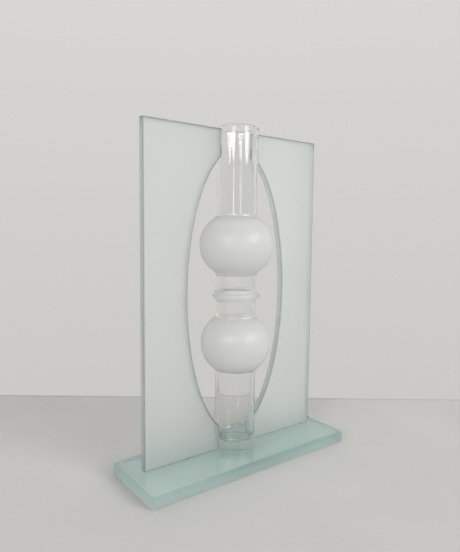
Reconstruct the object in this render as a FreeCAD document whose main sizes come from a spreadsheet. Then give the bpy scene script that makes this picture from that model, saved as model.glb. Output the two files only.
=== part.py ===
"""Frosted glass specimen stand: an open lampworked tube held between two glass panels on a glass base.

Lengths are millimetres. +Z is up, X runs along the panels and +Y points to the back. The origin is the
centre of the base's underside. Heights named *_level are measured from the top of the base.
"""
import FreeCAD, Part
import math
import os
import Sketcher

SIZES = (
    ("base_length", 150.0),
    ("base_depth", 50.0),
    ("base_height", 8.0),
    ("base_arris", 0.8),
    ("panel_span", 133.0),          # both panels, outer end to outer end
    ("panel_height", 200.0),
    ("panel_thickness", 4.0),
    ("panel_arris", 0.5),
    ("panel_setback", 2.5),         # panels and vessel stand this far behind the middle of the base
    ("opening_width", 75.0),        # elliptical opening between the panels
    ("opening_height", 180.0),
    ("opening_level", 99.7),
    ("slot_width", 27.0),           # straight slot above and below the opening, round the tube
    ("tube_diameter", 26.0),
    ("tube_wall", 2.4),
    ("foot_corner", 1.5),
    ("foot_thickness", 3.5),        # solid glass under the middle of the bore
    ("foot_round", 7.0),            # radius inside, where the bore's wall meets its floor
    ("vessel_level", 202.7),        # rim of the vessel
    ("lip_height", 5.0),
    ("lip_bead", 2.7),              # thickness of the rounded rim
    ("lip_flare", 0.5),             # how far the rim stands out from the tube
    ("upper_bulb_diameter", 47.0),
    ("upper_bulb_level", 130.0),
    ("lower_bulb_diameter", 45.0),
    ("lower_bulb_level", 67.3),
    ("bulb_arc", 20.0),             # radius of the bulbs' profile
    ("bulb_wall", 1.8),
    ("bulb_fillet", 3.0),
    ("centre_ring_diameter", 30.4),
    ("centre_ring_level", 98.0),
    ("ring_arc", 2.0),              # radius of the ring's rounded edge
    ("ring_fillet", 2.5),
    ("bond_film", 0.2),             # clear adhesive under the panels and the vessel
    ("bond_depth", 3.0),            # clear adhesive beads between tube and panels
    ("bond_height", 6.0),
    ("neck_bead_level", 184.7),
)


class Size:
    """A length that knows its number and the spreadsheet expression that gives it."""

    def __init__(self, text, value):
        self.text = text
        self.value = value

    def combine(self, sign, other, value):
        return Size("(%s %s %s)" % (self.text, sign, as_size(other).text), value)

    def __add__(self, other):
        return self.combine("+", other, self.value + as_size(other).value)

    def __sub__(self, other):
        return self.combine("-", other, self.value - as_size(other).value)

    def __mul__(self, other):
        return self.combine("*", other, self.value * as_size(other).value)

    def __truediv__(self, other):
        return self.combine("/", other, self.value / as_size(other).value)

    def __neg__(self):
        return Size("(0 - %s)" % self.text, -self.value)


def as_size(number):
    return number if isinstance(number, Size) else Size(repr(number), float(number))


def leg(hypotenuse, other_leg):
    """The remaining side of a right-angled triangle."""
    square = hypotenuse * hypotenuse - other_leg * other_leg
    return Size("sqrt(%s)" % square.text, math.sqrt(square.value))


def make_sheet(doc):
    """Put the driving dimensions in a spreadsheet and return them by name."""
    sheet = doc.addObject("Spreadsheet::Sheet", "Sizes")
    sizes = {}
    for row, (name, value) in enumerate(SIZES, start=1):
        sheet.set("A%d" % row, name)
        sheet.set("B%d" % row, str(value))
        sheet.setAlias("B%d" % row, name)
        sizes[name] = Size("Sizes.%s" % name, value)
    doc.recompute()
    return sizes


def place(thing, x, y, z):
    """Bind an object's position to the sheet."""
    for axis, distance in zip("xyz", (x, y, z)):
        thing.setExpression("Placement.Base.%s" % axis, as_size(distance).text)


def new_body(doc, label, y=0.0):
    body = doc.addObject("PartDesign::Body", label)
    body.Label = label
    place(body, 0.0, y, 0.0)
    return body


def new_sketch(body, name, plane):
    """A sketch on one of the body's own origin planes."""
    sketch = body.newObject("Sketcher::SketchObject", body.Name + "_" + name)
    for feature in body.Origin.OriginFeatures:
        if feature.Role == plane:
            sketch.AttachmentSupport = [(feature, "")]
    sketch.MapMode = "FlatFace"
    return sketch


def bind_constraint(sketch, size, kind, *where):
    number = sketch.addConstraint(Sketcher.Constraint(kind, *where, size.value))
    sketch.setExpression("Constraints[%d]" % number, size.text)


def pin_point(sketch, geometry, end, across, up):
    """Fix one sketch point by its two distances from the sketch's origin."""
    for kind, distance in (("DistanceX", across), ("DistanceY", up)):
        if distance.value == 0.0:
            axis = -2 if kind == "DistanceX" else -1
            sketch.addConstraint(Sketcher.Constraint("PointOnObject", geometry, end, axis))
        elif distance.value > 0.0:
            bind_constraint(sketch, distance, kind, -1, 1, geometry, end)
        else:
            bind_constraint(sketch, -distance, kind, geometry, end, -1, 1)


def arc_centre(start, end, radius, turn):
    """Centre of the short arc from start to end; turn is 1 anticlockwise and -1 clockwise."""
    middle = (start + end) * 0.5
    half = (end - start) * 0.5
    rise = math.sqrt(max(radius * radius - half.Length * half.Length, 0.0))
    side = FreeCAD.Vector(-half.y, half.x, 0.0).normalize()
    return middle + side * (rise * turn)


def draw_outline(sketch, corners):
    """Draw a closed outline whose corners are (across, up) or (across, up, radius, turn).

    A corner with a radius is joined to the next one by an arc, the others by straight lines.
    """
    points = [FreeCAD.Vector(corner[0].value, corner[1].value, 0.0) for corner in corners]
    ends = []
    for index, corner in enumerate(corners):
        start = points[index]
        end = points[(index + 1) % len(points)]
        if len(corner) == 2:
            geometry = sketch.addGeometry(Part.LineSegment(start, end), False)
            ends.append((geometry, 1, 2))
            continue
        radius, turn = corner[2:]
        centre = arc_centre(start, end, radius.value, turn)
        angles = [math.atan2(point.y - centre.y, point.x - centre.x) for point in (start, end)]
        circle = Part.Circle(centre, FreeCAD.Vector(0, 0, 1), radius.value)
        low, high = angles if turn > 0 else reversed(angles)
        geometry = sketch.addGeometry(Part.ArcOfCircle(circle, low, high), False)
        ends.append((geometry, 1, 2) if turn > 0 else (geometry, 2, 1))
    for index, corner in enumerate(corners):
        geometry, first, last = ends[index]
        following, following_first = ends[(index + 1) % len(ends)][:2]
        sketch.addConstraint(Sketcher.Constraint("Coincident", geometry, last, following, following_first))
        pin_point(sketch, geometry, first, corner[0], corner[1])
        if len(corner) == 4:
            bind_constraint(sketch, corner[2], "Radius", geometry)


def turned(doc, label, sizes, corners):
    """A body turned about the vessel's own axis from half of its section."""
    body = new_body(doc, label, sizes["panel_setback"])
    sketch = new_sketch(body, "section", "XZ_Plane")
    draw_outline(sketch, corners)
    revolution = body.newObject("PartDesign::Revolution", label + "_revolution")
    revolution.Profile = sketch
    revolution.ReferenceAxis = (sketch, ["V_Axis"])
    revolution.Angle = 360.0
    return body


def padded(doc, label, plane, corners, height, y=0.0, both_ways=False):
    """A plate padded from an outline."""
    body = new_body(doc, label, y)
    sketch = new_sketch(body, "outline", plane)
    draw_outline(sketch, corners)
    pad = body.newObject("PartDesign::Pad", label + "_pad")
    pad.Profile = sketch
    pad.setExpression("Length", height.text)
    pad.Midplane = both_ways
    doc.recompute()
    return body, pad


def rectangle(left, right, bottom, top):
    return [(left, bottom), (right, bottom), (right, top), (left, top)]


def faces_across(shape, direction):
    """Names of the flat faces at the two extremes of a direction."""
    names = []
    for number, face in enumerate(shape.Faces, start=1):
        if abs(abs(face.normalAt(0.0, 0.0).dot(direction)) - 1.0) > 1e-6:
            continue
        names.append((face.CenterOfMass.dot(direction), "Face%d" % number))
    names.sort()
    return [names[0][1], names[-1][1]]


def arris(body, feature, face_names, size):
    """Take a narrow polished arris off every edge of the named faces."""
    chamfer = body.newObject("PartDesign::Chamfer", body.Name + "_arris")
    chamfer.Base = (feature, face_names)
    chamfer.setExpression("Size", size.text)
    body.Tip = chamfer
    return chamfer


def glass_base(doc, sizes):
    half_length = sizes["base_length"] / 2
    half_depth = sizes["base_depth"] / 2
    outline = rectangle(-half_length, half_length, -half_depth, half_depth)
    body, pad = padded(doc, "glass_base", "XY_Plane", outline, sizes["base_height"])
    faces = faces_across(pad.Shape, FreeCAD.Vector(0, 0, 1))
    arris(body, pad, faces, sizes["base_arris"])
    return body


def standing_height(sizes):
    """Height of the underside of everything that stands on the base, on its film of adhesive."""
    return sizes["base_height"] + sizes["bond_film"]


def panel(doc, label, sizes, side):
    """One upright panel; side is -1 for the left one and 1 for the right one."""
    inner = sizes["slot_width"] / 2
    outer = sizes["panel_span"] / 2
    left, right = (-outer, -inner) if side < 0 else (inner, outer)
    foot = standing_height(sizes)
    outline = rectangle(left, right, foot, foot + sizes["panel_height"])
    body, pad = padded(doc, label, "XZ_Plane", outline, sizes["panel_thickness"],
                       sizes["panel_setback"], both_ways=True)
    pocket = body.newObject("PartDesign::Pocket", label + "_opening")
    pocket.Profile = opening_sketch(body, sizes)
    pocket.Type = "ThroughAll"
    pocket.Midplane = True
    doc.recompute()
    faces = faces_across(pocket.Shape, FreeCAD.Vector(0, 1, 0))
    arris(body, pocket, faces, sizes["panel_arris"])
    return body


def opening_sketch(body, sizes):
    """The elliptical opening that the two panels share."""
    centre_height = sizes["base_height"] + sizes["opening_level"]
    half_width = sizes["opening_width"] / 2
    half_height = sizes["opening_height"] / 2
    centre = FreeCAD.Vector(0.0, centre_height.value, 0.0)
    sketch = new_sketch(body, "ellipse", "XZ_Plane")
    top = centre + FreeCAD.Vector(0.0, half_height.value, 0.0)
    edge = centre + FreeCAD.Vector(half_width.value, 0.0, 0.0)
    ellipse = sketch.addGeometry(Part.Ellipse(top, edge, centre), False)
    sketch.exposeInternalGeometry(ellipse)
    long_axis = ellipse + 1
    short_axis = ellipse + 2
    sketch.addConstraint(Sketcher.Constraint("PointOnObject", ellipse, 3, -2))
    bind_constraint(sketch, centre_height, "DistanceY", -1, 1, ellipse, 3)
    sketch.addConstraint(Sketcher.Constraint("Vertical", long_axis))
    bind_constraint(sketch, sizes["opening_height"], "Distance", long_axis)
    bind_constraint(sketch, sizes["opening_width"], "Distance", short_axis)
    return sketch


class Vessel:
    """Derived sizes of the tube that the bulbs and the ring swell out of."""

    def __init__(self, sizes):
        self.sizes = sizes
        self.outer = sizes["tube_diameter"] / 2
        self.bore = self.outer - sizes["tube_wall"]
        self.bottom = standing_height(sizes)
        self.top = self.height("vessel_level")
        self.lip_start = self.top - sizes["lip_height"]
        self.lower_bulb = Swelling(self, "lower_bulb", "bulb")
        self.centre_ring = Swelling(self, "centre_ring", "ring")
        self.upper_bulb = Swelling(self, "upper_bulb", "bulb")

    def height(self, name):
        return self.sizes["base_height"] + self.sizes[name]


class Swelling:
    """A bulb or ring: a rounded arc, met by a concave fillet where it leaves the tube at each end."""

    def __init__(self, vessel, label, kind):
        self.label = label
        self.vessel = vessel
        self.arc = vessel.sizes[kind + "_arc"]
        self.fillet = vessel.sizes[kind + "_fillet"]
        self.middle = vessel.height(label + "_level")
        self.offset = vessel.sizes[label + "_diameter"] / 2 - self.arc
        self.across = vessel.outer + self.fillet - self.offset
        self.reach = leg(self.arc + self.fillet, self.across)
        self.start = self.middle - self.reach
        self.end = self.middle + self.reach

    def outer_corners(self):
        """The outline from the tube below to the tube above."""
        share = self.arc / (self.arc + self.fillet)
        edge_across = self.offset + self.across * share
        edge_up = self.reach * share
        return [
            (self.vessel.outer, self.start, self.fillet, -1),
            (edge_across, self.middle - edge_up, self.arc, 1),
            (edge_across, self.middle + edge_up, self.fillet, -1),
            (self.vessel.outer, self.end),
        ]


def tube_section(doc, label, vessel, low, high):
    """A plain length of the vessel's tube."""
    return turned(doc, label, vessel.sizes, rectangle(vessel.bore, vessel.outer, low, high))


def bulb(doc, shape):
    """A blown bulb: the wall follows the outside at an even thickness and opens to the bore at both ends."""
    bore = shape.vessel.bore
    inner_arc = shape.arc - shape.vessel.sizes["bulb_wall"]
    inner_up = leg(inner_arc, bore - shape.offset)
    return turned(doc, shape.label, shape.vessel.sizes, shape.outer_corners() + [
        (bore, shape.end),
        (bore, shape.middle + inner_up, inner_arc, -1),
        (bore, shape.middle - inner_up),
        (bore, shape.start),
    ])


def ring(doc, shape):
    """The raised ring of glass between the bulbs, round a plain bore."""
    bore = shape.vessel.bore
    return turned(doc, shape.label, shape.vessel.sizes, shape.outer_corners() + [
        (bore, shape.end),
        (bore, shape.start),
    ])


def vessel_lip(doc, vessel):
    """The flared rim with its fire-polished bead."""
    sizes = vessel.sizes
    bead = sizes["lip_bead"] / 2
    edge = vessel.outer + sizes["lip_flare"]
    shoulder = vessel.top - bead
    return turned(doc, "vessel_lip", sizes, [
        (vessel.outer, vessel.lip_start),
        (edge, shoulder, bead, 1),
        (edge - bead, vessel.top, bead, 1),
        (edge - bead * 2, shoulder),
        (vessel.bore, vessel.lip_start),
    ])


def vessel_foot(doc, vessel):
    """The lower end of the tube, closed by a flat foot that is well rounded inside."""
    sizes = vessel.sizes
    corner = sizes["foot_corner"]
    inner_round = sizes["foot_round"]
    floor = vessel.bottom + sizes["foot_thickness"]
    top = vessel.lower_bulb.start
    axis = as_size(0.0)
    return turned(doc, "vessel_foot", sizes, [
        (axis, vessel.bottom),
        (vessel.outer - corner, vessel.bottom, corner, 1),
        (vessel.outer, vessel.bottom + corner),
        (vessel.outer, top),
        (vessel.bore, top),
        (vessel.bore, floor + inner_round, inner_round, -1),
        (vessel.bore - inner_round, floor),
        (axis, floor),
    ])


def sized_box(doc, name, corner, extent):
    box = doc.addObject("Part::Box", name)
    for side, length in zip(("Length", "Width", "Height"), extent):
        box.setExpression(side, length.text)
    place(box, *corner)
    return box


def sized_cylinder(doc, name, radius, height, z, y):
    cylinder = doc.addObject("Part::Cylinder", name)
    cylinder.setExpression("Radius", radius.text)
    cylinder.setExpression("Height", height.text)
    place(cylinder, 0.0, y, z)
    return cylinder


def panel_bond(doc, label, sizes, side):
    """The film of adhesive under one panel."""
    margin = sizes["panel_arris"]
    inner = sizes["slot_width"] / 2 + margin
    outer = sizes["panel_span"] / 2 - margin
    depth = sizes["panel_thickness"] - margin * 2
    corner = (-outer if side < 0 else inner, sizes["panel_setback"] - depth / 2, sizes["base_height"])
    film = sized_box(doc, label, corner, (outer - inner, depth, sizes["bond_film"]))
    film.Label = label
    return film


def vessel_bond(doc, vessel):
    """The film of adhesive under the vessel's foot."""
    sizes = vessel.sizes
    radius = vessel.outer - sizes["foot_corner"]
    film = sized_cylinder(doc, "vessel_bond", radius, sizes["bond_film"],
                          sizes["base_height"], sizes["panel_setback"])
    film.Label = "vessel_bond"
    return film


def bead_bond(doc, label, vessel, side, z):
    """A bead of adhesive across the gap between the tube and one panel's slot edge."""
    sizes = vessel.sizes
    slot_edge = sizes["slot_width"] / 2
    depth = sizes["bond_depth"]
    reach = slot_edge - vessel.bore
    corner = (-slot_edge if side < 0 else vessel.bore, sizes["panel_setback"] - depth / 2, z)
    block = sized_box(doc, label + "_block", corner, (reach, depth, sizes["bond_height"]))
    tube = sized_cylinder(doc, label + "_tube", vessel.outer, sizes["bond_height"],
                          z, sizes["panel_setback"])
    bead = doc.addObject("Part::Cut", label)
    bead.Base = block
    bead.Tool = tube
    bead.Label = label
    return bead


def build(doc):
    """Build every piece and return them all."""
    sizes = make_sheet(doc)
    vessel = Vessel(sizes)
    lower, middle, upper = vessel.lower_bulb, vessel.centre_ring, vessel.upper_bulb
    pieces = [glass_base(doc, sizes), vessel_foot(doc, vessel)]
    pieces.append(bulb(doc, lower))
    pieces.append(tube_section(doc, "lower_waist", vessel, lower.end, middle.start))
    pieces.append(ring(doc, middle))
    pieces.append(tube_section(doc, "upper_waist", vessel, middle.end, upper.start))
    pieces.append(bulb(doc, upper))
    pieces.append(tube_section(doc, "neck_tube", vessel, upper.end, vessel.lip_start))
    pieces.append(vessel_lip(doc, vessel))
    pieces.append(vessel_bond(doc, vessel))
    neck_bead_foot = vessel.height("neck_bead_level")
    for side, word in ((-1, "left"), (1, "right")):
        pieces.append(panel(doc, word + "_panel", sizes, side))
        pieces.append(panel_bond(doc, word + "_panel_bond", sizes, side))
        pieces.append(bead_bond(doc, word + "_foot_bead", vessel, side, vessel.bottom))
        pieces.append(bead_bond(doc, word + "_neck_bead", vessel, side, neck_bead_foot))
    doc.recompute()
    return pieces


def check(doc, pieces):
    """Stop if any object failed to build or any piece isn't one sound solid."""
    for thing in doc.Objects:
        if "Invalid" in thing.State or "Error" in thing.State:
            raise RuntimeError("%s did not build: %s" % (thing.Name, thing.State))
    for piece in pieces:
        shape = piece.Shape
        if shape.isNull() or not shape.isValid() or len(shape.Solids) != 1:
            raise RuntimeError("%s is not one sound solid" % piece.Label)


def export(pieces):
    os.makedirs("parts", exist_ok=True)
    for piece in pieces:
        piece.Shape.exportStep("parts/%s.step" % piece.Label)
        box = piece.Shape.optimalBoundingBox()
        print("%-18s %7.1f mm3  x %6.1f..%6.1f  y %6.1f..%6.1f  z %6.1f..%6.1f" % (
            piece.Label, piece.Shape.Volume, box.XMin, box.XMax, box.YMin, box.YMax, box.ZMin, box.ZMax))


document = FreeCAD.newDocument("SpecimenStand")
all_pieces = build(document)
check(document, all_pieces)
export(all_pieces)
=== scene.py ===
"""Looks for the frosted glass stand: a lampworked tube between two frosted panels on a tinted base.

Lengths in this file are millimetres and become metres when a mesh is made.
"""
import bmesh
import bpy
import math
from mathutils import Matrix, Vector


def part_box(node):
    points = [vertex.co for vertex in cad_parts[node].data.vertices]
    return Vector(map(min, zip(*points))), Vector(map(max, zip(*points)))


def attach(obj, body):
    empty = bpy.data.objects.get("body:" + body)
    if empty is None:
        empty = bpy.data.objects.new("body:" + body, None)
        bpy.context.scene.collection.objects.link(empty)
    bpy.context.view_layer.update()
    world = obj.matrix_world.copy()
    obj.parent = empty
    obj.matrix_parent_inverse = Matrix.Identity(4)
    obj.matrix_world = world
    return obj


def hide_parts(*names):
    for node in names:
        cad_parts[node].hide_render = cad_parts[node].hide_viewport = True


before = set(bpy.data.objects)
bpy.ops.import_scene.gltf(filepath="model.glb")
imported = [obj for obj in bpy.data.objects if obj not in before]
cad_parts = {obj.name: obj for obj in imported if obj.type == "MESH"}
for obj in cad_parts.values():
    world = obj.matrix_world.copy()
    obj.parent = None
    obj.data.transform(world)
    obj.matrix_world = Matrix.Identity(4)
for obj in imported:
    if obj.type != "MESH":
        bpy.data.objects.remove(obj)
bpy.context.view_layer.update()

MM = 0.001

# The vessel's finer sizes. Its larger ones are read from the frame.
BORE_RADIUS = 10.6
BULB_ARC = 20.0
BULB_FILLET = 3.0
BULB_WALL = 1.8
RING_ARC = 2.0
RING_FILLET = 2.5
LIP_BEAD = 1.35                 # radius of the rolled rim
FOOT_CORNER = 1.5
FOOT_THICKNESS = 3.5
FOOT_ROUND = 7.0                # where the bore's wall meets its floor
UPPER_FROST = (-19.4, 17.9)     # frosted zone of each bulb, from its middle
LOWER_FROST = (-17.1, 17.2)
RING_MILK = (-4.3, 4.3)         # milky zone of the ring, from its middle

# Material numbers on the vessel.
CLEAR, FROSTED, MILKY, WETTED = range(4)

# How finely the vessel is divided.
TURNS = 160                     # facets round it
ROW_PITCH = 4.0                 # height of the rows of a plain length of tube
FILLET_STEPS = 16
SWELL_STEPS = 64
LIP_STEPS = 10
BEAD_STEPS = 20
FOOT_CORNER_STEPS = 10
FOOT_ROUND_STEPS = 24
SOLE_RADII = (0.0, 2.5, 5.0, 7.5, 10.0)         # rings of the foot's underside
FLOOR_RADIUS = 1.5              # innermost ring of the bore's floor

# The elliptical opening that the panels share.
OPENING_LEVEL = 107.7
OPENING_HALF_WIDTH = 37.5
OPENING_HALF_HEIGHT = 90.0
OPENING_STEPS = 144

# The sheet glass. Frost goes from 0 for polished to 1 for sandblasted.
PANEL_ARRIS = 0.5
PANEL_BORDER = 0.55             # fine-ground strip that runs on to the faces beside each cut, carrying the cut's painted shade
PANEL_EDGE_FROST = 0.85
PAINTED_CUT_SHADE = 0.7                 # share of the painted shade, a dark tint, on a cut face; an arris has all of it
BASE_ARRIS = 0.8
BASE_CORNER = 1.6
BASE_CORNER_STEPS = 6
BASE_EDGE_FROST = 0.5
FLAT = 0.999                    # least share of a large face's normal along its own axis
LEVEL = 0.01                    # largest share of a normal along an axis that the face runs along
DOWNWARD = -0.6                 # z of a normal below which a panel's face belongs to its glued edge

# Colours of the sheet glass.
FACE_TINT = (0.94, 0.935, 0.935, 1.0)
CLOUD_TINT = (0.885, 0.905, 0.90, 1.0)
# dark tint painted on cut edges, arrises and their border strips as shade
PAINTED_EDGE_SHADE = (0.29, 0.33, 0.315, 1.0)
GLASS_GREEN = (0.37, 0.79, 0.70, 1.0)

# What the materials share.
TUBE_IOR = 1.474                # borosilicate
GRAIN = 2600.0                  # grains of sandblasting per metre

# The adhesive.
WETTING = 0.03                  # how far it reaches into the glass, so that no air shows between them
MENISCUS = 0.35                 # how far it stands out round the vessel's foot
MENISCUS_STEPS = 8
MENISCUS_GLASS_STEPS = 12       # steps of its side that touches the foot's corner
MENISCUS_HOLLOW = 2.5           # how strongly the meniscus curves in; 1 would be straight
MENISCUS_TOP = -8.0             # degrees round the foot's corner at which the meniscus ends
FILM_RADII = (0.0, 3.0, 6.0, 9.0, 12.0)         # rings of the film under the foot
STRIP_STEPS = 48
STRIP_INSET = 0.4               # mean distance of a film's edge from the space that it may fill
STRIP_WAVES = ((0.25, 21.0, 1.0), (0.15, 57.0, 2.0))    # reach, radians end to end and offset of each wave
BEAD_ROWS = 14
BEAD_HALF_STEPS = 4             # steps from the middle of a bead to its free side, along the tube
BEAD_PINCH = 0.25               # share of its gap by which a bead's free side is drawn in

# The studio, in metres.
TABLE_BACK = 0.1137             # table behind the object
TABLE_FRONT = 1.6
TABLE_HALF_WIDTH = 2.0
TABLE_DROP = 0.15 * MM          # keeps the table just clear of the base
TABLE_GAP = 0.0012              # shadow line where the wall would meet the table
LIGHT_DISTANCE = 2.4
LIGHT_AIM = 0.1                 # height that the lights face

# Name, turn, rise, width, height, radiance and colour of each light. Turns are degrees about +Z from the
# camera's side, positive to its right. The two narrow ones stand for the gaps beside the windows' curtains.
LIGHTS = (
    ("right_window", 55.0, 24.3, 1.70, 1.24, 7.0, (1.0, 0.99, 0.97)),
    ("left_window", -24.0, 22.0, 1.60, 1.00, 6.4, (0.97, 0.985, 1.0)),
    ("right_gap", 23.0, 6.5, 0.06, 0.36, 12.0, (1.0, 1.0, 1.0)),
    ("left_gap", -19.0, 6.5, 0.06, 0.36, 12.0, (1.0, 1.0, 1.0)),
)
ROOM_COLOUR = (0.41, 0.41, 0.415, 1.0)          # the dim room on the camera's side
WALL_COLOUR = (0.685, 0.67, 0.645, 1.0)
SHADOW_COLOUR = (0.42, 0.41, 0.40, 1.0)

# The camera. Its turn is about +Z from the view along +Y, anticlockwise from above.
CAMERA_PLACE = (-191.72, -245.31, 146.13)
CAMERA_TURN = -37.02
CAMERA_PITCH = -5.095
CAMERA_ROLL = 0.559
CAMERA_LENS = 32.187


def box_mm(node):
    """A CAD node's lowest and highest corners."""
    low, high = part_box(node)
    return low / MM, high / MM


# ---------------------------------------------------------------- meshes

def arc(centre, radius, start, end, steps):
    """Points on an arc; angles are degrees."""
    points = []
    for step in range(steps + 1):
        angle = math.radians(start + (end - start) * step / steps)
        points.append((centre[0] + radius * math.cos(angle), centre[1] + radius * math.sin(angle)))
    return points


def ease(start, end, steps):
    """Points on an S-shaped run from one (radius, height) to another that leaves and arrives upright."""
    points = []
    for step in range(steps + 1):
        share = step / steps
        bend = share * share * (3.0 - 2.0 * share)
        points.append((start[0] + (end[0] - start[0]) * bend, start[1] + (end[1] - start[1]) * share))
    return points


def swelling(tube, middle, radius, round_arc, fillet):
    """Profile of a bulb or ring that swells out of a tube, from below to above."""
    offset = radius - round_arc
    across = tube + fillet - offset
    reach = math.sqrt((round_arc + fillet) ** 2 - across ** 2)
    tilt = math.degrees(math.atan2(reach, across))
    lower = arc((tube + fillet, middle - reach), fillet, 180.0, 180.0 - tilt, FILLET_STEPS)
    swell = arc((offset, middle), round_arc, -tilt, tilt, SWELL_STEPS)
    upper = arc((tube + fillet, middle + reach), fillet, 180.0 + tilt, 180.0, FILLET_STEPS)
    return lower + swell[1:-1] + upper


def straight(radius, low, high):
    """Points along a plain length of tube, without its two ends."""
    steps = max(1, round((high - low) / ROW_PITCH))
    return [(radius, low + (high - low) * step / steps) for step in range(1, steps)]


def join_up(radius, *runs):
    """Join profile runs with plain lengths of tube between them."""
    profile = list(runs[0])
    for run in runs[1:]:
        profile += straight(radius, profile[-1][1], run[0][1])
        profile += run
    return profile


def finish_mesh(name, mesh_data, slot_name, materials, *nodes):
    """Turn a bmesh in millimetres into a piece that rides on the root body."""
    bmesh.ops.scale(mesh_data, vec=(MM, MM, MM), verts=mesh_data.verts)
    bmesh.ops.recalc_face_normals(mesh_data, faces=mesh_data.faces)
    mesh = bpy.data.meshes.new(name)
    mesh_data.to_mesh(mesh)
    mesh_data.free()
    piece = bpy.data.objects.new(name, mesh)
    bpy.context.scene.collection.objects.link(piece)
    for material in materials:
        mesh.materials.append(material)
    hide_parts(*nodes)
    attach(piece, "root")
    return piece


def lathe(profile, centre):
    """Revolve a profile that starts and ends on the axis; returns the mesh and its rows of faces."""
    mesh_data = bmesh.new()
    rings = []
    for radius, height in profile:
        if radius == 0.0:
            rings.append([mesh_data.verts.new((centre[0], centre[1], height))])
            continue
        ring = []
        for step in range(TURNS):
            angle = 2.0 * math.pi * step / TURNS
            ring.append(mesh_data.verts.new((centre[0] + radius * math.cos(angle),
                                             centre[1] + radius * math.sin(angle), height)))
        rings.append(ring)
    rows = []
    for below, above in zip(rings, rings[1:]):
        row = []
        for step in range(TURNS):
            after = (step + 1) % TURNS
            corners = [below[step % len(below)], below[after % len(below)],
                       above[after % len(above)], above[step % len(above)]]
            different = list(dict.fromkeys(corners))    # three beside the axis, where a ring is one point
            row.append(mesh_data.faces.new(different))
        rows.append(row)
    return mesh_data, rows


def plate(outline, low, high, arris, arris_steps=2, upright=False):
    """A plate swept from an outline, with a rounded arris round both of its large faces.

    An upright plate is swept along Y and any other along Z.
    """
    mesh_data = bmesh.new()
    loops = []
    for level in (low, high):
        loops.append([mesh_data.verts.new((u, level, v) if upright else (u, v, level)) for u, v in outline])
    faces = [mesh_data.faces.new(loop) for loop in loops]
    count = len(outline)
    for index in range(count):
        after = (index + 1) % count
        mesh_data.faces.new((loops[0][index], loops[0][after], loops[1][after], loops[1][index]))
    bmesh.ops.recalc_face_normals(mesh_data, faces=mesh_data.faces)
    rim = list(dict.fromkeys(edge for face in faces for edge in face.edges))
    bmesh.ops.bevel(mesh_data, geom=rim, offset=arris, offset_type="OFFSET", segments=arris_steps,
                    profile=0.5, affect="EDGES", clamp_overlap=True)
    return mesh_data


def mark_faces(mesh_data, finish_of):
    """Store each face's finish: how frosted it is, and as cut its share of the painted shade, the dark tint
    painted on cut edges.
    """
    frost = mesh_data.faces.layers.float.new("frost")
    cut = mesh_data.faces.layers.float.new("cut")
    mesh_data.normal_update()
    for face in mesh_data.faces:
        face[frost], face[cut] = finish_of(face.normal)


def shade(piece, sharp_angle):
    """Shade smooth, apart from edges sharper than the angle."""
    piece.data.polygons.foreach_set("use_smooth", [True] * len(piece.data.polygons))
    piece.data.set_sharp_from_angle(angle=math.radians(sharp_angle))


def even_faces(piece):
    """Let the large faces keep their own direction where they meet narrow ones."""
    weighting = piece.modifiers.new("even_faces", "WEIGHTED_NORMAL")
    weighting.keep_sharp = True
    weighting.weight = 100


# ---------------------------------------------------------------- materials

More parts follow.
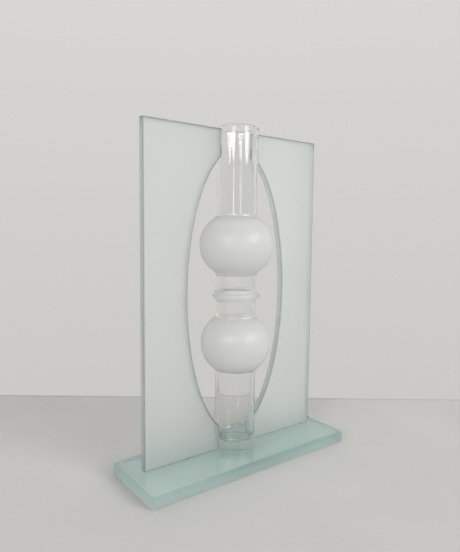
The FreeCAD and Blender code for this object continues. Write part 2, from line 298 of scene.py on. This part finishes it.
class Look:
    """A material being built round one Principled shader. Settings are its sockets, with _ for each space."""

    def __init__(self, name, **settings):
        self.material = bpy.data.materials.new(name)
        self.material.use_nodes = True
        self.nodes = self.material.node_tree.nodes
        self.links = self.material.node_tree.links
        self.shader = self.nodes["Principled BSDF"]
        self.output = self.nodes["Material Output"]
        for socket, value in settings.items():
            self.shader.inputs[socket.replace("_", " ")].default_value = value

    def node(self, kind, **values):
        """A new node with values on its sockets."""
        made = self.nodes.new(kind)
        for socket, value in values.items():
            made.inputs[socket.replace("_", " ")].default_value = value
        return made

    def noise(self, scale, detail=3.0, stretch=(1.0, 1.0, 1.0)):
        """A noise over the row frame; scale is repeats per metre."""
        where = self.node("ShaderNodeTexCoord")
        mapping = self.node("ShaderNodeMapping", Scale=stretch)
        pattern = self.node("ShaderNodeTexNoise", Scale=scale, Detail=detail)
        self.links.new(where.outputs["Object"], mapping.inputs["Vector"])
        self.links.new(mapping.outputs["Vector"], pattern.inputs["Vector"])
        return pattern.outputs[0]

    def spread(self, value, low, high, start=0.3, end=0.7):
        """Map a value from start..end to low..high."""
        ranged = self.node("ShaderNodeMapRange", From_Min=start, From_Max=end, To_Min=low, To_Max=high)
        self.links.new(value, ranged.inputs["Value"])
        return ranged.outputs["Result"]

    def maths(self, operation, first, second):
        """The result of an operation on two numbers or outputs."""
        sums = self.node("ShaderNodeMath")
        sums.operation = operation
        for socket, value in zip(sums.inputs, (first, second)):
            if isinstance(value, float):
                socket.default_value = value
            else:
                self.links.new(value, socket)
        return sums.outputs[0]

    def blend(self, share, first, second):
        """A number that goes from first to second as share goes from 0 to 1."""
        step = self.maths("SUBTRACT", second, first)
        return self.maths("ADD", self.maths("MULTIPLY", share, step), first)

    def tint(self, share, first, second):
        """A colour that goes from first to second as share goes from 0 to 1."""
        mix = self.node("ShaderNodeMix")
        mix.data_type = "RGBA"
        colours = [socket for socket in mix.inputs if socket.type == "RGBA"]
        for socket, colour in zip(colours, (first, second)):
            if isinstance(colour, tuple):
                socket.default_value = colour
            else:
                self.links.new(colour, socket)
        self.links.new(share, mix.inputs["Factor"])
        return [socket for socket in mix.outputs if socket.type == "RGBA"][0]

    def face_value(self, name):
        """A number that the mesh keeps for each face."""
        reader = self.node("ShaderNodeAttribute")
        reader.attribute_name = name
        return reader.outputs["Fac"]

    def feed(self, socket, value):
        """Link an output to one of the shader's sockets."""
        self.links.new(value, self.shader.inputs[socket])

    def bump(self, height, distance_mm, strength):
        """Raise the surface where height is high."""
        bump = self.node("ShaderNodeBump", Strength=strength, Distance=distance_mm * MM)
        self.links.new(height, bump.inputs["Height"])
        self.links.new(bump.outputs["Normal"], self.shader.inputs["Normal"])

    def let_light_through(self, colour, share):
        """Scatter a share of the light that arrives from behind."""
        through = self.node("ShaderNodeBsdfTranslucent", Color=colour)
        mix = self.node("ShaderNodeMixShader", Fac=share)
        self.links.new(self.shader.outputs["BSDF"], mix.inputs[1])
        self.links.new(through.outputs["BSDF"], mix.inputs[2])
        self.links.new(mix.outputs["Shader"], self.output.inputs["Surface"])

    def absorb(self, colour, density):
        """Tint the light by how far it goes through the glass."""
        volume = self.node("ShaderNodeVolumeAbsorption", Color=colour, Density=density)
        self.links.new(volume.outputs["Volume"], self.output.inputs["Volume"])


def sheet_look(name, density, white):
    """Green-tinted float glass whose faces are polished, ground or sandblasted, as each face is marked.

    White is the share of a sandblasted face that scatters light straight back.
    """
    look = Look(name, IOR=1.52)
    frost = look.face_value("frost")
    cut = look.face_value("cut")
    clouds = look.spread(look.noise(scale=11.0, detail=2.0), low=0.0, high=1.0)
    # painted shade: each face is darkened towards the dark edge tint by its cut share
    look.feed("Base Color", look.tint(cut, look.tint(clouds, FACE_TINT, CLOUD_TINT), PAINTED_EDGE_SHADE))
    look.feed("Transmission Weight", look.spread(frost, low=1.0, high=1.0 - white, start=0.8, end=1.0))
    sandblast = look.spread(look.noise(scale=26.0, detail=4.0), low=0.66, high=0.78)
    polish = look.spread(look.noise(scale=60.0, detail=4.0), low=0.015, high=0.04)
    look.feed("Roughness", look.blend(frost, polish, sandblast))
    grainy = look.spread(frost, low=0.0, high=1.0, start=0.9, end=1.0)
    grain = look.maths("MULTIPLY", look.noise(scale=GRAIN, detail=2.0), grainy)
    look.bump(grain, distance_mm=0.01, strength=0.3)
    look.absorb(GLASS_GREEN, density)
    return look.material


def tube_look():
    """Clear borosilicate with the faint long waves of drawn tube."""
    look = Look("tube_glass", Base_Color=(0.965, 0.965, 0.96, 1.0), Transmission_Weight=1.0,
                IOR=TUBE_IOR)
    look.feed("Roughness", look.spread(look.noise(scale=300.0), low=0.0, high=0.03, start=0.45, end=0.8))
    waves = look.noise(scale=160.0, detail=2.0, stretch=(1.0, 1.0, 0.12))
    look.bump(waves, distance_mm=0.02, strength=0.6)
    return look.material


def ring_look():
    """The same glass, milky inside its polished skin where it was gathered."""
    look = Look("ring_glass", Base_Color=(0.96, 0.96, 0.955, 1.0), Transmission_Weight=0.75, IOR=TUBE_IOR,
                Coat_Weight=1.0, Coat_Roughness=0.05)
    look.feed("Roughness", look.spread(look.noise(scale=300.0), low=0.36, high=0.44))
    look.bump(look.noise(scale=220.0, detail=2.0), distance_mm=0.008, strength=0.4)
    look.let_light_through((0.97, 0.97, 0.965, 1.0), share=0.3)
    return look.material


def frost_look():
    """Borosilicate sandblasted to an even white, with a slight sheen."""
    look = Look("frosted_glass", Base_Color=(0.985, 0.985, 0.98, 1.0), Transmission_Weight=0.68, IOR=TUBE_IOR,
                Coat_Weight=0.9, Coat_Roughness=0.22)
    look.feed("Roughness", look.spread(look.noise(scale=120.0, detail=4.0), low=0.46, high=0.56))
    look.bump(look.noise(scale=GRAIN, detail=2.0), distance_mm=0.01, strength=0.3)
    look.let_light_through((0.985, 0.985, 0.98, 1.0), share=0.6)
    return look.material


def contact_look():
    """Glass that adhesive wets, where light goes on without a reflection."""
    look = Look("wetted_glass", Base_Color=(0.98, 0.985, 0.98, 1.0), Transmission_Weight=1.0,
                IOR=1.0)
    look.feed("Roughness", look.spread(look.noise(scale=900.0), low=0.0, high=0.04))
    return look.material


def adhesive_look(name, clear):
    """Cured adhesive; clear is the share of light that passes without being scattered back."""
    look = Look(name, Base_Color=(0.97, 0.98, 0.975, 1.0), Transmission_Weight=clear, IOR=1.5)
    look.feed("Roughness", look.spread(look.noise(scale=900.0), low=0.02, high=0.12))
    look.bump(look.noise(scale=700.0, detail=2.0), distance_mm=0.05, strength=0.5)
    return look.material


def table_look():
    """A pale, faintly mottled table top."""
    look = Look("table", Roughness=0.7)
    mottle = look.spread(look.noise(scale=9.0, detail=6.0), low=0.0, high=1.0)
    dark = (0.558, 0.550, 0.539, 1.0)
    light = (0.596, 0.588, 0.577, 1.0)
    look.feed("Base Color", look.tint(mottle, dark, light))
    look.bump(look.noise(scale=130.0, detail=5.0), distance_mm=0.15, strength=0.5)
    return look.material


# ---------------------------------------------------------------- pieces

def vessel_profile():
    """The vessel's profile, and how many of its points are outside.

    It goes up the outside from the middle of the foot to the rim, then down the inside to the bore's floor.
    """
    foot_low, foot_high = box_mm("vessel_foot")
    lip_low, lip_high = box_mm("vessel_lip")
    tube = (foot_high.x - foot_low.x) / 2
    swells = []
    for node, round_arc, fillet in (("lower_bulb", BULB_ARC, BULB_FILLET),
                                    ("centre_ring", RING_ARC, RING_FILLET),
                                    ("upper_bulb", BULB_ARC, BULB_FILLET)):
        low, high = box_mm(node)
        swells.append(((low.z + high.z) / 2, (high.x - low.x) / 2, round_arc, fillet))
    bottom = foot_low.z
    rim = (lip_high.x - lip_low.x) / 2
    shoulder = lip_high.z - LIP_BEAD
    sole = [(radius, bottom) for radius in SOLE_RADII]
    corner = arc((tube - FOOT_CORNER, bottom + FOOT_CORNER), FOOT_CORNER, -90.0, 0.0, FOOT_CORNER_STEPS)
    lip = ease((tube, lip_low.z), (rim, shoulder), LIP_STEPS)[:-1]
    bead = arc((rim - LIP_BEAD, shoulder), LIP_BEAD, 0.0, 180.0, BEAD_STEPS)
    outside = join_up(tube, sole + corner, *[swelling(tube, *swell) for swell in swells], lip + bead)
    throat = ease((rim - 2.0 * LIP_BEAD, shoulder), (BORE_RADIUS, lip_low.z), LIP_STEPS)[1:]
    hollows = []
    for middle, radius, round_arc, fillet in (swells[2], swells[0]):
        hollow = swelling(BORE_RADIUS, middle, radius - BULB_WALL, round_arc - BULB_WALL, fillet)
        hollows.append(hollow[::-1])
    floor = bottom + FOOT_THICKNESS
    cup = arc((BORE_RADIUS - FOOT_ROUND, floor + FOOT_ROUND), FOOT_ROUND, 0.0, -90.0, FOOT_ROUND_STEPS)
    inside = join_up(BORE_RADIUS, throat, *hollows, cup)
    inside += [(FLOOR_RADIUS, floor), (0.0, floor)]
    return outside + inside, len(outside)


def vessel_zone(zones, height):
    """Material number of the outside at a height."""
    for middle, (low, high), number in zones:
        if middle + low < height < middle + high:
            return number
    return CLEAR


def make_vessel(materials):
    """The vessel in clear, frosted, milky and wetted glass, in that order."""
    low, high = box_mm("neck_tube")
    centre = ((low.x + high.x) / 2, (low.y + high.y) / 2)
    profile, outside_count = vessel_profile()
    zones = [(profile[0][1], (-FOOT_CORNER, FOOT_CORNER), WETTED)]
    for node, reach, number in (("lower_bulb", LOWER_FROST, FROSTED), ("upper_bulb", UPPER_FROST, FROSTED),
                                ("centre_ring", RING_MILK, MILKY)):
        node_low, node_high = box_mm(node)
        zones.append(((node_low.z + node_high.z) / 2, reach, number))
    mesh_data, rows = lathe(profile, centre)
    for index, row in enumerate(rows[:outside_count - 1]):
        height = (profile[index][1] + profile[index + 1][1]) / 2
        for face in row:
            face.material_index = vessel_zone(zones, height)
    piece = finish_mesh("vessel", mesh_data, "tube_glass", materials, "vessel_foot", "lower_bulb",
                        "lower_waist", "centre_ring", "upper_waist", "upper_bulb", "neck_tube", "vessel_lip")
    shade(piece, 50.0)


def panel_outline(low, high, side):
    """Outline of a panel in x and z, with its share of the elliptical opening."""
    slot = low.x if side > 0 else -high.x
    outer = high.x if side > 0 else -low.x
    turn = math.degrees(math.asin(slot / OPENING_HALF_WIDTH))
    points = [(slot, low.z), (outer, low.z), (outer, high.z), (slot, high.z)]
    for step in range(OPENING_STEPS + 1):
        angle = math.radians(turn + (180.0 - 2.0 * turn) * step / OPENING_STEPS)
        points.append((OPENING_HALF_WIDTH * math.sin(angle),
                       OPENING_LEVEL + OPENING_HALF_HEIGHT * math.cos(angle)))
    return [(side * x, z) for x, z in points]


def panel_finish(normal):
    """A panel's faces are sandblasted and its cut edges fine-ground; the cut edges carry painted shade, and
    the arrises carry more of it.

    The edge that it stands on is glued down, so it gets no painted shade.
    """
    if abs(normal.y) > FLAT:
        return 1.0, 0.0
    if normal.z < DOWNWARD and abs(normal.x) < LEVEL:
        return PANEL_EDGE_FROST, 0.0
    return PANEL_EDGE_FROST, PAINTED_CUT_SHADE if abs(normal.y) < LEVEL else 1.0


def grind_border(mesh_data, bottom):
    """Mark a narrow strip round each of a panel's faces as ground, with the painted shade of the cut beside
    it, which paints a dark outline.

    The strip along the bottom, beside the glued edge, gets no painted shade.
    """
    frost = mesh_data.faces.layers.float["frost"]
    cut = mesh_data.faces.layers.float["cut"]
    faces = [face for face in mesh_data.faces if abs(face.normal.y) > FLAT]
    border = bmesh.ops.inset_individual(mesh_data, faces=faces, thickness=PANEL_BORDER)["faces"]
    for strip in border:
        strip[frost] = PANEL_EDGE_FROST
        strip[cut] = PAINTED_CUT_SHADE if strip.calc_center_median().z > bottom + 2.0 * PANEL_BORDER else 0.0


def make_panel(name, side, material):
    """A panel; side is -1 for the left one and 1 for the right one."""
    low, high = box_mm(name)
    mesh_data = plate(panel_outline(low, high, side), low.y, high.y, PANEL_ARRIS, upright=True)
    mark_faces(mesh_data, panel_finish)
    grind_border(mesh_data, low.z)
    piece = finish_mesh(name + "_glass", mesh_data, "panel_glass", [material], name)
    shade(piece, 20.0)


def base_finish(normal):
    """The base's top is polished, its edges ground and its underside sandblasted."""
    if normal.z > FLAT:
        return 0.0, 0.0
    return (1.0, 0.0) if normal.z < -FLAT else (BASE_EDGE_FROST, 0.0)


def make_base(material):
    """The base slab, with rounded corners."""
    low, high = box_mm("glass_base")
    outline = []
    for x, y, start in ((high.x, high.y, 0.0), (low.x, high.y, 90.0),
                        (low.x, low.y, 180.0), (high.x, low.y, 270.0)):
        centre = (x - math.copysign(BASE_CORNER, x), y - math.copysign(BASE_CORNER, y))
        outline += arc(centre, BASE_CORNER, start, start + 90.0, BASE_CORNER_STEPS)
    mesh_data = plate(outline, low.z, high.z, BASE_ARRIS, arris_steps=3)
    mark_faces(mesh_data, base_finish)
    piece = finish_mesh("base", mesh_data, "base_glass", [material], "glass_base")
    shade(piece, 32.0)
    even_faces(piece)


def make_film(name, node, outline, material):
    """A film of adhesive that wets the glass above and below it."""
    low, high = box_mm(node)
    mesh_data = plate(outline, low.z - WETTING, high.z + WETTING, WETTING)
    piece = finish_mesh(name, mesh_data, "clear_adhesive", [material], node)
    shade(piece, 32.0)


def make_foot_film(materials):
    """The film under the vessel, with the meniscus that fills the foot's rounded corner.

    The meniscus has the first material and the faces that touch glass have the second.
    """
    low, high = box_mm("vessel_bond")
    foot_low, foot_high = box_mm("vessel_foot")
    centre = ((low.x + high.x) / 2, (low.y + high.y) / 2)
    tube = (foot_high.x - foot_low.x) / 2
    corner = (tube - FOOT_CORNER, high.z + FOOT_CORNER)
    inside = arc(corner, FOOT_CORNER - WETTING, MENISCUS_TOP, -90.0, MENISCUS_GLASS_STEPS)
    bottom = low.z - WETTING
    top = high.z + WETTING
    sole = [(radius, bottom) for radius in FILM_RADII]
    start = (tube + MENISCUS, bottom)
    curve = []
    for step in range(1, MENISCUS_STEPS):
        share = step / MENISCUS_STEPS
        across = start[0] + (inside[0][0] - start[0]) * (1.0 - (1.0 - share) ** MENISCUS_HOLLOW)
        curve.append((across, start[1] + (inside[0][1] - start[1]) * share))
    profile = sole + [start] + curve + inside + [(FILM_RADII[1], top), (0.0, top)]
    mesh_data, rows = lathe(profile, centre)
    for row in rows[:len(sole)] + rows[len(sole) + len(curve) + 1:]:
        for face in row:
            face.material_index = 1
    piece = finish_mesh("vessel_adhesive", mesh_data, "clear_adhesive", materials, "vessel_bond")
    shade(piece, 40.0)


def strip_outline(low, high):
    """The edge of a squeezed-out film: a long strip whose sides wander slightly."""
    points = []
    for side, order in ((-1.0, range(STRIP_STEPS + 1)), (1.0, range(STRIP_STEPS, -1, -1))):
        edge = low.y if side < 0 else high.y
        for step in order:
            share = step / STRIP_STEPS
            inset = STRIP_INSET
            for reach, waves, offset in STRIP_WAVES:
                inset += reach * math.sin(share * waves + offset * side)
            points.append((low.x + (high.x - low.x) * share, edge - side * inset))
    return points


def bead_ring(tube, wall, half):
    """One level of a bead as x and y: round the tube's side, then back along the panel's edge."""
    points = []
    for step in range(-BEAD_HALF_STEPS, BEAD_HALF_STEPS + 1):
        across = half * (step / BEAD_HALF_STEPS)
        points.append((math.sqrt(tube * tube - across * across), across))
    waist = half - (wall - tube) * BEAD_PINCH
    middle = (wall + tube) / 2
    return points + [(middle, waist), (wall, half), (wall, 0.0), (wall, -half), (middle, -waist)]


def make_bead(name, node, side, material):
    """A drop of adhesive between the tube and a panel, drawn in at its two free sides."""
    low, high = box_mm(node)
    foot_low, foot_high = box_mm("vessel_foot")
    tube = (foot_high.x - foot_low.x) / 2 - WETTING
    wall = (high.x if side > 0 else -low.x) + WETTING
    centre_y = (low.y + high.y) / 2
    centre_z = (low.z + high.z) / 2
    half_width = (high.y - low.y) / 2
    half_height = (high.z - low.z) / 2
    mesh_data = bmesh.new()
    rings = []
    for row in range(1, BEAD_ROWS):
        share = row / BEAD_ROWS * 2.0 - 1.0
        half = half_width * math.sqrt(1.0 - share ** 4)
        height = centre_z + half_height * share
        ring = []
        for x, y in bead_ring(tube, wall, half):
            ring.append(mesh_data.verts.new((side * x, centre_y + y, height)))
        rings.append(ring)
    for below, above in zip(rings, rings[1:]):
        for index in range(len(below)):
            after = (index + 1) % len(below)
            mesh_data.faces.new((below[index], below[after], above[after], above[index]))
    mesh_data.faces.new(rings[0])
    mesh_data.faces.new(rings[-1])
    piece = finish_mesh(name, mesh_data, "clear_adhesive", [material], node)
    shade(piece, 50.0)


def make_adhesive(film_look, bead_look, contact):
    """The three films and the four beads."""
    make_foot_film([film_look, contact])
    for side, word in ((-1, "left"), (1, "right")):
        film = word + "_panel_bond"
        make_film(word + "_panel_adhesive", film, strip_outline(*box_mm(film)), film_look)
        for place in ("foot", "neck"):
            make_bead("%s_%s_drop" % (word, place), "%s_%s_bead" % (word, place), side, bead_look)


# ---------------------------------------------------------------- studio

def heading(turn):
    """Level direction from the object to the camera's side, turned towards the camera's right."""
    angle = math.radians(CAMERA_TURN - 90.0 + turn)
    return Vector((math.cos(angle), math.sin(angle), 0.0))


def make_sheet(name, corners, material):
    """A flat sheet that belongs to the studio."""
    mesh = bpy.data.meshes.new(name)
    mesh.from_pydata([tuple(corner) for corner in corners], [], [(0, 1, 2, 3)])
    mesh.materials.append(material)
    sheet = bpy.data.objects.new(name, mesh)
    bpy.context.scene.collection.objects.link(sheet)


def make_table(material):
    """A pale table top that ends behind the object, where the wall would stand."""
    view = heading(0.0)
    side = Vector((-view.y, view.x, 0.0)) * TABLE_HALF_WIDTH
    down = Vector((0.0, 0.0, -TABLE_DROP))
    front = view * TABLE_FRONT + down
    back = view * -TABLE_BACK + down
    make_sheet("table_top", [back - side, back + side, front + side, front - side], material)
    shadow = Look("shadow", Base_Color=SHADOW_COLOUR, Roughness=0.9).material
    up = Vector((0.0, 0.0, TABLE_GAP / 2))
    far = view * -TABLE_BACK
    make_sheet("table_gap", [far - side - up, far + side - up, far + side + up, far - side + up], shadow)


def make_camera():
    """A camera with the photograph's viewpoint and framing."""
    data = bpy.data.cameras.new("camera")
    data.lens = CAMERA_LENS
    data.sensor_width = 36.0
    data.clip_start = 0.01
    camera = bpy.data.objects.new("camera", data)
    bpy.context.scene.collection.objects.link(camera)
    turn = Matrix.Rotation(math.radians(CAMERA_TURN), 4, "Z")
    tip = Matrix.Rotation(math.radians(90.0 + CAMERA_PITCH), 4, "X")
    roll = Matrix.Rotation(math.radians(CAMERA_ROLL), 4, "Z")
    camera.matrix_world = Matrix.Translation(Vector(CAMERA_PLACE) * MM) @ turn @ tip @ roll
    bpy.context.scene.camera = camera


def make_light(name, turn, rise, width, height, radiance, colour):
    """A soft oval light that faces the object. Its power is what gives that radiance over its oval."""
    data = bpy.data.lights.new(name, "AREA")
    data.shape = "ELLIPSE"
    data.size = width
    data.size_y = height
    data.energy = radiance * width * height * math.pi * math.pi / 4.0
    data.color = colour
    light = bpy.data.objects.new(name, data)
    bpy.context.scene.collection.objects.link(light)
    tilt = math.radians(rise)
    away = heading(turn) * math.cos(tilt) + Vector((0.0, 0.0, math.sin(tilt)))
    light.location = away * LIGHT_DISTANCE + Vector((0.0, 0.0, LIGHT_AIM))
    light.rotation_euler = (-away).to_track_quat("-Z", "Y").to_euler()
    light.visible_camera = False


def world_range(nodes, from_min, from_max, to_min):
    """A node that maps from_min..from_max to to_min..1."""
    ranged = nodes.new("ShaderNodeMapRange")
    ranged.inputs["From Min"].default_value = from_min
    ranged.inputs["From Max"].default_value = from_max
    ranged.inputs["To Min"].default_value = to_min
    return ranged


def make_world():
    """A pale wall behind the object and a dimmer room in front of it, both a little darker low down."""
    world = bpy.data.worlds.new("room")
    bpy.context.scene.world = world
    world.use_nodes = True
    nodes = world.node_tree.nodes
    links = world.node_tree.links
    where = nodes.new("ShaderNodeTexCoord")
    facing = nodes.new("ShaderNodeVectorMath")
    facing.operation = "DOT_PRODUCT"
    facing.inputs[1].default_value = -heading(0.0)
    falloff = world_range(nodes, from_min=-0.5, from_max=0.6, to_min=0.0)
    falloff.interpolation_type = "SMOOTHSTEP"
    mix = nodes.new("ShaderNodeMix")
    mix.data_type = "RGBA"
    colours = [socket for socket in mix.inputs if socket.type == "RGBA"]
    colours[0].default_value = ROOM_COLOUR
    colours[1].default_value = WALL_COLOUR
    mixed = [socket for socket in mix.outputs if socket.type == "RGBA"][0]
    height = nodes.new("ShaderNodeSeparateXYZ")
    rise = world_range(nodes, from_min=-0.4, from_max=0.4, to_min=0.86)
    background = nodes["Background"]
    links.new(where.outputs["Generated"], facing.inputs[0])
    links.new(facing.outputs["Value"], falloff.inputs["Value"])
    links.new(falloff.outputs["Result"], mix.inputs["Factor"])
    links.new(mixed, background.inputs["Color"])
    links.new(where.outputs["Generated"], height.inputs["Vector"])
    links.new(height.outputs["Z"], rise.inputs["Value"])
    links.new(rise.outputs["Result"], background.inputs["Strength"])


def make_studio():
    """Camera, room, table and lights, with enough bounces for light to get through the glass."""
    make_camera()
    make_world()
    make_table(table_look())
    for light in LIGHTS:
        make_light(*light)
    scene = bpy.context.scene
    scene.view_settings.view_transform = "Standard"
    scene.cycles.max_bounces = 24
    scene.cycles.diffuse_bounces = 12
    scene.cycles.glossy_bounces = 12
    scene.cycles.transmission_bounces = 24


def make_object():
    """Every piece, each with its own look."""
    contact = contact_look()
    make_vessel([tube_look(), frost_look(), ring_look(), contact])
    glass = sheet_look("panel_glass", density=11.0, white=0.05)
    for side, word in ((-1, "left"), (1, "right")):
        make_panel(word + "_panel", side, glass)
    make_base(sheet_look("base_glass", density=20.0, white=1.0))
    clear = adhesive_look("clear_adhesive", clear=1.0)
    cloudy = adhesive_look("cloudy_adhesive", clear=0.45)
    make_adhesive(clear, cloudy, contact)


make_studio()
make_object()
